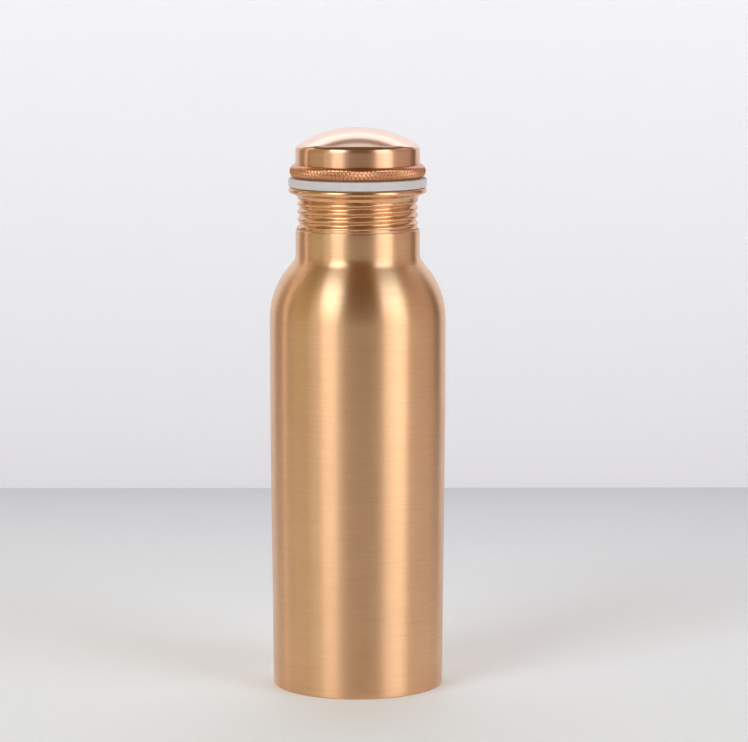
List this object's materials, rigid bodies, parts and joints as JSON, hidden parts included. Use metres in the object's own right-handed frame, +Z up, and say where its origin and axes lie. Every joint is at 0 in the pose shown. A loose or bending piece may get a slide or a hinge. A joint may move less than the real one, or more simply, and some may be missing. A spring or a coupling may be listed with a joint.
{
  "type": "water bottle",
  "caption": "Round metal water bottle with a domed screw cap, a knurled grip ring, a soft sealing ring and a roll-threaded neck.",
  "frame": {"origin": "centre of the foot, on the surface that the bottle stands on", "axes": "+Z up along the bottle's axis. The bottle is round, so +X and +Y only mark where the thread's turns are counted from."},
  "size_m": [0.073, 0.073, 0.2328],
  "materials": {
    "body_copper": "satin copper with a fine brushing round the axis",
    "base_copper": "plain rolled copper, slightly dull",
    "collar_copper": "bright roll-formed copper",
    "cap_copper": "copper, polished on the crown and brushed on the skirt",
    "grip_copper": "reddish copper, knurled",
    "plug_copper": "plain roll-formed copper",
    "silver_braze": "copper-coloured braze metal with some silver in it, slightly dull",
    "silicone": "semi-matt white silicone rubber"
  },
  "bodies": {
    "bottle": {"body_shell": "body_copper", "base_pan": "base_copper", "base_braze": "silver_braze", "neck_collar": "collar_copper", "neck_braze": "silver_braze"},
    "gasket_ring": {"gasket": "silicone"},
    "cap": {"cap_shell": "cap_copper", "grip_ring": "grip_copper", "plug_sleeve": "plug_copper", "plug_floor": "plug_copper", "plug_braze": "silver_braze"}
  },
  "joints": [
    {"name": "cap_lift", "type": "slide", "parent": "bottle", "child": "gasket_ring", "axis": [0, 0, 1], "range_m": [0, 0.0225]},
    {"name": "cap_turn", "type": "hinge", "parent": "gasket_ring", "child": "cap", "pos_m": [0, 0, 0.212], "axis": [0, 0, 1], "range_deg": [0, 2520]}
  ],
  "couplings": [
    {"joint": "cap_lift", "follows": "cap_turn", "m_per_rad": 0.0005093}
  ]
}
